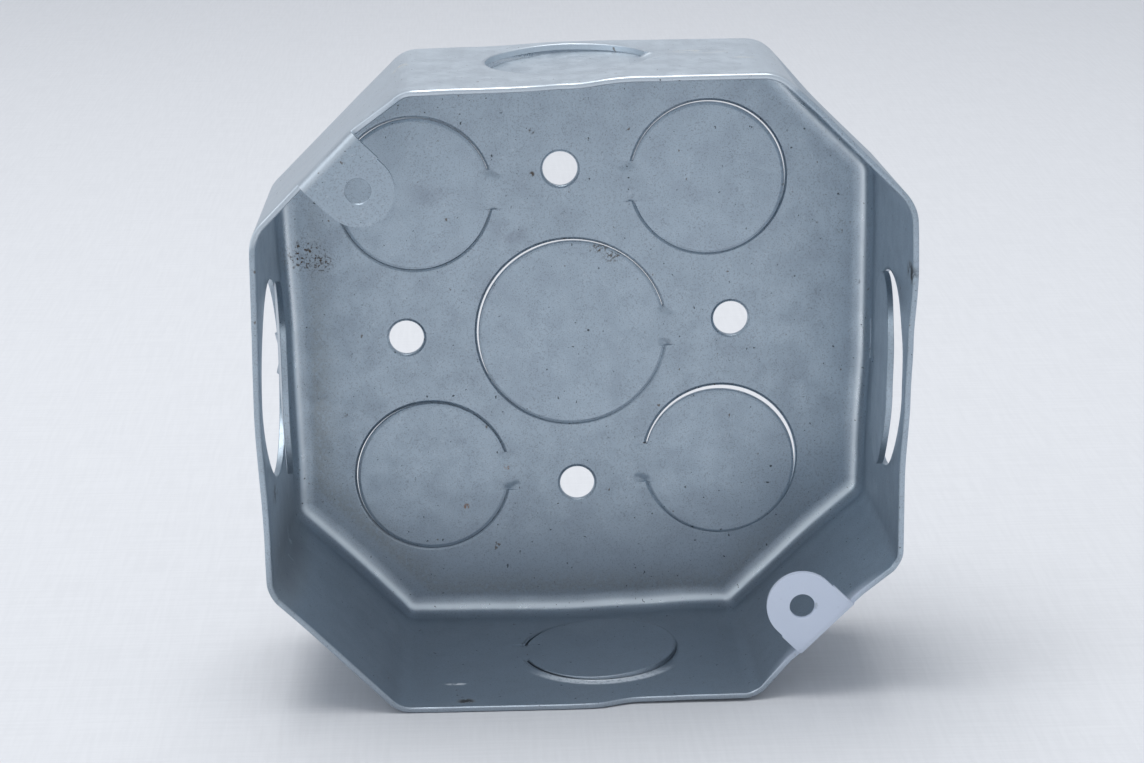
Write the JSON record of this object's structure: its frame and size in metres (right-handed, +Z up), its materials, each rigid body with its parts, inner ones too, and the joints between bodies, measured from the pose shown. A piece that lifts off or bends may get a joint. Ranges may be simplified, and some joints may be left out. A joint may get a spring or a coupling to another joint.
{
  "type": "octagonal electrical junction box",
  "caption": "Open octagonal sheet-steel junction box with two folded cover ears, round mounting holes and tie-held knock-outs in the base and the main walls.",
  "frame": {"origin": "on the floor plane, under the middle of the box: X and Y at the middle of its bounding box, Z at the outer face of the lower wall", "axes": "+X to the right and +Z up with the box standing on its lower wall; the open side faces -Y and the base faces +Y"},
  "size_m": [0.092, 0.0381, 0.092],
  "materials": {
    "galvanized_shell": "dull blue-grey zinc, faintly mottled",
    "galvanized_disc": "dull blue-grey zinc, as the shell"
  },
  "bodies": {
    "box": {"shell": "galvanized_shell"},
    "knockout_centre": {"knockout_centre": "galvanized_disc"},
    "knockout_upper_left": {"knockout_upper_left": "galvanized_disc"},
    "knockout_upper_right": {"knockout_upper_right": "galvanized_disc"},
    "knockout_lower_left": {"knockout_lower_left": "galvanized_disc"},
    "knockout_lower_right": {"knockout_lower_right": "galvanized_disc"},
    "knockout_top": {"knockout_top": "galvanized_disc"},
    "knockout_bottom": {"knockout_bottom": "galvanized_disc"},
    "knockout_left": {"knockout_left": "galvanized_disc"},
    "knockout_right": {"knockout_right": "galvanized_disc"}
  },
  "joints": [
    {"name": "centre_tie", "type": "hinge", "parent": "box", "child": "knockout_centre", "pos_m": [0.01391, 0.01815, 0.04812], "axis": [-0.0419, 0, 0.9991], "range_deg": [-1.5, 43.5]},
    {"name": "upper_left_tie", "type": "hinge", "parent": "box", "child": "knockout_upper_left", "pos_m": [-0.01247, 0.01815, 0.06994], "axis": [-0.0419, 0, 0.9991], "range_deg": [-0.8, 44.2]},
    {"name": "upper_right_tie", "type": "hinge", "parent": "box", "child": "knockout_upper_right", "pos_m": [0.00861, 0.01815, 0.07082], "axis": [0.0419, 0, -0.9991], "range_deg": [-1.8, 43.2]},
    {"name": "lower_left_tie", "type": "hinge", "parent": "box", "child": "knockout_lower_left", "pos_m": [-0.01061, 0.01815, 0.02538], "axis": [-0.0419, 0, 0.9991], "range_deg": [-1.2, 43.8]},
    {"name": "lower_right_tie", "type": "hinge", "parent": "box", "child": "knockout_lower_right", "pos_m": [0.01047, 0.01815, 0.02626], "axis": [0.0419, 0, -0.9991], "range_deg": [-3, 42]},
    {"name": "top_tie", "type": "hinge", "parent": "box", "child": "knockout_top", "pos_m": [0.01025, 0.0015, 0.0911], "axis": [0, -1, 0], "range_deg": [-4, 41]},
    {"name": "bottom_tie", "type": "hinge", "parent": "box", "child": "knockout_bottom", "pos_m": [-0.00925, 0.0016, 0.0009], "axis": [0, -1, 0], "range_deg": [-2, 43]},
    {"name": "left_tie", "type": "hinge", "parent": "box", "child": "knockout_left", "pos_m": [-0.0451, 0.0136, 0.0463], "axis": [0, 0, 1], "range_deg": [-7.5, 37.5]},
    {"name": "right_tie", "type": "hinge", "parent": "box", "child": "knockout_right", "pos_m": [0.0451, 0.0136, 0.046], "axis": [0, 0, -1], "range_deg": [-4.3, 40.7]}
  ]
}
